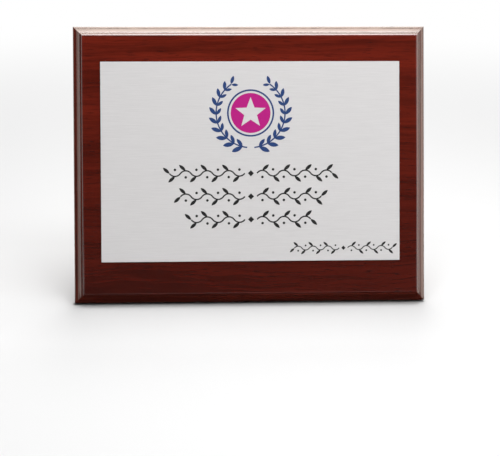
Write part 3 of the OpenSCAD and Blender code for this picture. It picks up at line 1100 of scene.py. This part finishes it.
def raise_ear(bm, foot):
    """Raises an ear from its foot, through a root fillet and straight flanks to a round top."""
    climb(bm, [foot], arc(0, EAR_ROOT_R, EAR_ROOT_R, -90, 0, 4))
    from_pin = math.hypot(EAR_FOOT, PIN_DEPTH)
    flank = math.degrees(math.atan2(EAR_FOOT, -PIN_DEPTH) - math.acos(EAR_R / from_pin))
    crest = arc(PIN_DEPTH - BASE_T, 0, EAR_R, flank, EAR_TOP_ANGLE, 10)
    shoulder_height, shoulder = crest[0]
    root = EAR_FOOT - BASE_T * (EAR_FOOT - shoulder) / (BASE_T + shoulder_height)
    steps = [(root, EAR_ROOT_R)] + [(half, height) for height, half in crest]
    for (half, height), (next_half, next_height) in zip(steps, steps[1:]):
        climb(bm, [foot], [(0, height), (0, next_height)])
        bmesh.ops.scale(bm, verts=foot.verts, vec=(1, next_half / half, 1),
                        space=Matrix.Translation((0, -PIN_Y, 0)))


def hinge_bracket():
    """Base plate with four screw holes and two ears for the pin."""
    bm = blank()
    z = -BASE_T / 2
    outlines = rounded_rectangle(bm, BASE_W, BASE_H, BASE_CORNER_R, 0, PIN_Y, z)
    for x, y in BRACKET_SCREWS:
        outlines += circle(bm, BASE_HOLE_R, x, y, z)
    feet = []
    for side in (-1, 1):
        foot = rectangle(bm, BASE_T + 2 * EAR_ROOT_R, 2 * EAR_FOOT, side * (EAR_X + BASE_T / 2),
                         PIN_Y, z)
        feet.append(foot)
    inner = [e for foot in feet for e in foot.edges]
    rear = plate(bm, outlines + inner, BASE_T, SHEET_EASE, feet)[1]
    for foot in rear[-len(feet):]:
        raise_ear(bm, foot)
    weld(bm)
    return bm


def rivet_pin():
    """Pin with a domed head at each end, along z."""
    end = [(0, PIN_END_X + PIN_HEAD_H)]
    end += arc(PIN_HEAD_R - PIN_HEAD_H, PIN_END_X, PIN_HEAD_H, 90, 0, 8)
    end += [(PIN_R, PIN_END_X)]
    return turned(end + [(r, -h) for r, h in reversed(end)])


def washer():
    """Flat washer with eased rims, on z = 0."""
    ease = WASHER_EASE
    hole = PIN_R + HINGE_PLAY
    lower = [(hole, ease), (hole + ease, 0), (WASHER_R - ease, 0), (WASHER_R, ease)]
    upper = [(r, WASHER_T - h) for r, h in reversed(lower)]
    return turned(lower + upper, closed=True)


def across_pin(x, side=1):
    """Place on the pin for a fitting that was drawn upwards and points to one side."""
    aside = Matrix.Rotation(side * math.pi / 2, 4, "Y")
    return ON_BOARD @ Matrix.Translation((x, PIN_Y, -PIN_DEPTH)) @ aside


piece("hinge_bracket", hinge_bracket(), ON_BOARD, [sheet_finish],
      node="strut_bracket")
bracket_places = [
    to_rear(x, y, -BASE_T, turn) for (x, y), turn in zip(BRACKET_SCREWS, BRACKET_SCREW_TURNS)]
piece("bracket_screw_set", repeated(pan_screw(), bracket_places), ON_BOARD, [screw_finish],
      node="bracket_screws")
piece("rivet_pin", rivet_pin(), across_pin(0), [screw_finish],
      node="hinge_pin")
for side, hand in ((-1, "left"), (1, "right")):
    piece("nylon_washer_" + hand, washer(), across_pin(side * WASHER_X, side), [nylon_finish],
          node="hinge_washer_" + hand)


# Strut

def leg_web(bm):
    """Web of the leg with its pressed rib; gives the edges along which the flanges are bent."""
    half, foot = STRUT_W / 2, FOOT_W / 2
    pen = Pen(bm, half, HEEL_Q, -WEB_OUTER).line(-half, HEEL_Q).line(-half, SHOULDER_Q)
    pen.line(-foot, FOOT_END_Q).line(foot, FOOT_END_Q).line(half, SHOULDER_Q)
    plan = pen.line(half, HEEL_Q).close()
    rib = upright_slot(bm, RIB_R, RIB_TOP_Q - RIB_END_Q, 0, RIB_END_Q, -WEB_OUTER)
    fill(bm, plan + rib, -1)
    groove = lid(bm, rib)
    bm.normal_update()
    if groove[0].normal.z > 0:
        bmesh.ops.reverse_faces(bm, faces=groove)
    climb(bm, groove, RIB_FLANK)
    return [e for e in plan if e.verts[0].co.x * e.verts[1].co.x > 0]


def stamped_leg():
    """Channel of bent sheet: a ribbed web to the rear and two flanges that carry the pin."""
    bm = blank()
    bends = leg_web(bm)
    sink(bm, bends, WEB_OUTER + KNUCKLE_R)
    taper = Vector((0, -FOOT_FLANGE_P - KNUCKLE_R, SHOULDER_Q - FOOT_END_Q))
    heel = Vector((0, math.sin(STRUT_OPEN), math.cos(STRUT_OPEN)))
    cut_away(bm, (0, SHOULDER_Q, KNUCKLE_R), taper)
    cut_away(bm, heel * KNUCKLE_R, heel)
    bmesh.ops.bevel(bm, geom=bends, offset=BEND_R, offset_type="OFFSET", segments=5, profile=0.5,
                    affect="EDGES", material=-1)
    weld(bm)
    bmesh.ops.solidify(bm, geom=bm.faces[:], thickness=STRUT_SHEET)
    return bm


def grip_grooves():
    """Outline of the boot's side as (inset, height) points, from its end up past its grooves."""
    side = [(0, 0)]
    for i in range(GROOVES):
        low = GROOVE_RISE + GROOVE_STEP * i
        high = low + GROOVE_W
        side += [(0, low), (GROOVE_DEPTH, low + GROOVE_SLOPE), (GROOVE_DEPTH, high - GROOVE_SLOPE),
                 (0, high)]
    return side


def rubber_boot():
    """Boot over the end of the strut, with grip grooves and a lip, cut level on the floor."""
    bm = blank()
    start = -STRUT_L - BOOT_CORNER_R
    rise = BOOT_H + BOOT_CORNER_R
    middle = (BOOT_FRONT_P + BOOT_REAR_P) / 2
    outline = rounded_rectangle(bm, BOOT_W, BOOT_REAR_P - BOOT_FRONT_P, BOOT_CORNER_R,
                                0, middle, start)
    cap = fill(bm, outline)
    lip = arc(LIP_R, rise - LIP_R, LIP_R, 180, 90, 4)
    climb(bm, cap, grip_grooves() + lip[:1])
    climb(bm, cap, lip, worn=True)
    land = LIP_R + LIP_LAND
    climb(bm, cap, [lip[-1], (land, rise), (land + LIP_SLOPE, rise - LIP_DEPTH)])
    bmesh.ops.transform(bm, matrix=OPENED, verts=bm.verts)
    cut_away(bm, (0, 0, 0), (0, 0, -1))
    lid(bm, [e for e in bm.edges if e.is_boundary])
    weld(bm)
    return bm


piece("stamped_leg", stamped_leg(), ON_STRUT, [sheet_finish], "strut",
      node="strut_leg")
piece("rubber_boot", rubber_boot(), Matrix.Identity(4), [rubber_finish], "strut",
      node="leg_tip")


# Bumpers

def wall_bumper():
    """Turned bumper with a foot flange, a round crown and a dished middle, on z = 0."""
    top_r = BUMPER_R - BUMPER_TAPER
    foot = [(0, 0), (BUMPER_R, 0), (BUMPER_R, BUMPER_FOOT_H),
            (BUMPER_R - BUMPER_FOOT_STEP, BUMPER_FOOT_TOP)]
    crown = arc(top_r - BUMPER_CROWN_R, BUMPER_H - BUMPER_CROWN_R, BUMPER_CROWN_R, 0, 90, 8)
    dish = [(DISH_R, BUMPER_H), (DISH_FLOOR_R, BUMPER_H - DISH_DEPTH), (0, BUMPER_H - DISH_MIDDLE)]
    return turned(foot + crown + dish, 48)


for x, hand in ((-1, "left"), (1, "right")):
    for y, level in ((-1, "lower"), (1, "upper")):
        place = ON_BOARD @ to_rear(
            x * (BOARD_W / 2 - BUMPER_INSET), BOARD_MID_Y + y * (BOARD_MID_Y - BUMPER_INSET), 0)
        piece(f"bumper_pad_{level}_{hand}", wall_bumper(), place, [rubber_finish],
              node=f"bumper_{level}_{hand}")


# Floor, light and camera

FLOOR_SIZE = 30
FLOOR_NEAR = 0.3
FLOOR_FAR = 1.1
CARD_W = 400 * MM
CARD_DEPTH = 80 * MM
CARD_Y = -50 * MM
CARD_Z = 0.1 * MM
DARK_FRONT = Vector((-0.2, -0.96, 0.2))
DARK_EDGE = (0.41, 0.67)
LAMP_AIM = (0, 0, 0.09)


def seen_ray(tree):
    """1 for rays that show the background: from the camera, from gloss or through glass."""
    path = add(tree, "LightPath").outputs
    seen = maths(tree, "MAXIMUM", path["Is Camera Ray"], path["Is Glossy Ray"])
    return maths(tree, "MAXIMUM", seen, path["Is Transmission Ray"])


def stage_sheet(name, width, depth, y, z, finish):
    """A flat sheet of the studio, which isn't part of the plaque."""
    bm = blank()
    rectangle(bm, width, depth, 0, y, z)
    mesh = bpy.data.meshes.new(name)
    bm.to_mesh(mesh)
    bm.free()
    mesh.materials.append(finish)
    sheet = bpy.data.objects.new(name, mesh)
    bpy.context.scene.collection.objects.link(sheet)
    return sheet


def pale_floor():
    """Pale floor that keeps the shadow near the plaque and turns white further out."""
    made, tree, shader, place = material("pale_floor", Roughness=0.9, Specular_IOR_Level=0.1)
    specks = noise(tree, place, 900.0, 3.0)
    join(tree, mixed(tree, specks, tone(226, 226, 226), tone(231, 231, 231)), shader["Base Color"])
    away = add(tree, "VectorMath", {"operation": "LENGTH"}, Vector=place).outputs["Value"]
    share = maths(tree, "MULTIPLY", spread(tree, away, FLOOR_NEAR, FLOOR_FAR), seen_ray(tree))
    white = add(tree, "Emission", None, Color=(1, 1, 1, 1), Strength=1.0)
    both = add(tree, "MixShader")
    join(tree, share, both.inputs[0])
    join(tree, tree.nodes["Principled BSDF"].outputs[0], both.inputs[1])
    join(tree, white.outputs[0], both.inputs[2])
    join(tree, both.outputs[0], tree.nodes["Material Output"].inputs["Surface"])
    stage_sheet("pale_floor", FLOOR_SIZE, FLOOR_SIZE, 0, 0, made)


def dark_card():
    """Dark card below the lower moulding, seen only in gloss, so that its lacquer looks deep."""
    made = material("dark_card", Base_Color=tone(26, 28, 32), Roughness=0.9,
                    Specular_IOR_Level=0.1)[0]
    card = stage_sheet("dark_card", CARD_W, CARD_DEPTH, CARD_Y, CARD_Z, made)
    for ray in ("camera", "diffuse", "transmission", "volume_scatter", "shadow"):
        setattr(card, "visible_" + ray, False)


def studio_world(fill_level, dark_level):
    """White where it is seen, a soft fill elsewhere, and a dark room in front for gloss."""
    world = bpy.data.worlds.new("studio")
    world.use_nodes = True
    tree = world.node_tree
    direction = add(tree, "TexCoord").outputs["Generated"]
    facing = vector_maths(tree, "DOT_PRODUCT", direction, DARK_FRONT)["Value"]
    front = spread(tree, facing, *DARK_EDGE)
    glossy = add(tree, "LightPath").outputs["Is Glossy Ray"]
    hidden = maths(tree, "MULTIPLY", maths(tree, "MULTIPLY", front, glossy), 1 - dark_level)
    level = spread(tree, seen_ray(tree), 0.0, 1.0, fill_level, 1.0)
    join(tree, maths(tree, "MULTIPLY", level, maths(tree, "SUBTRACT", 1.0, hidden)),
         tree.nodes["Background"].inputs["Strength"])
    tree.nodes["Background"].inputs["Color"].default_value = (1, 1, 1, 1)
    bpy.context.scene.world = world


def softbox(name, place, aim, width, depth, level):
    """A rectangular lamp; its level is how bright its face looks, where white paper is 1."""
    lamp = bpy.data.lights.new(name, "AREA")
    lamp.shape = "RECTANGLE"
    lamp.size = width
    lamp.size_y = depth
    lamp.energy = 4 * width * depth * level
    obj = bpy.data.objects.new(name, lamp)
    obj.location = place
    obj.rotation_euler = (Vector(aim) - Vector(place)).to_track_quat("-Z", "Y").to_euler()
    bpy.context.scene.collection.objects.link(obj)


def studio_camera():
    """Camera at the viewing angle, set by where the upright face sits in its view."""
    lens = bpy.data.cameras.new("camera")
    lens.sensor_width = SENSOR_W
    lens.lens = FOCAL_PX * SENSOR_W / FRAME_W_PX
    lens.clip_end = 100
    face_middle = Vector((0, -BOARD_T, BOARD_MID_Y))
    view = (Matrix.Translation(CAMERA_OFFSET) @ Matrix.Rotation(-CAMERA_ROLL, 4, "Y")
            @ Matrix.Rotation(CAMERA_PITCH, 4, "X") @ Matrix.Rotation(CAMERA_YAW, 4, "Z")
            @ Matrix.Translation(-face_middle))
    obj = bpy.data.objects.new("camera", lens)
    obj.matrix_world = STANDING @ (Matrix.Rotation(-math.pi / 2, 4, "X") @ view).inverted()
    bpy.context.scene.collection.objects.link(obj)
    bpy.context.scene.camera = obj


pale_floor()
dark_card()
studio_world(fill_level=0.16, dark_level=0.03)
softbox("overhead_softbox", (0.055, 0.06, 0.9), (0.055, 0.06, 0.1), 0.38, 0.86, 4.9)
softbox("rear_softbox", (0.1, 0.95, 0.95), LAMP_AIM, 0.44, 0.5, 5.5)
softbox("right_softbox", (0.85, -0.66, 0.42), LAMP_AIM, 0.8, 0.9, 1.25)
softbox("front_softbox", (0, -0.74, 1.02), LAMP_AIM, 0.64, 0.32, 6.3)
studio_camera()
bpy.context.scene.view_settings.view_transform = "Standard"
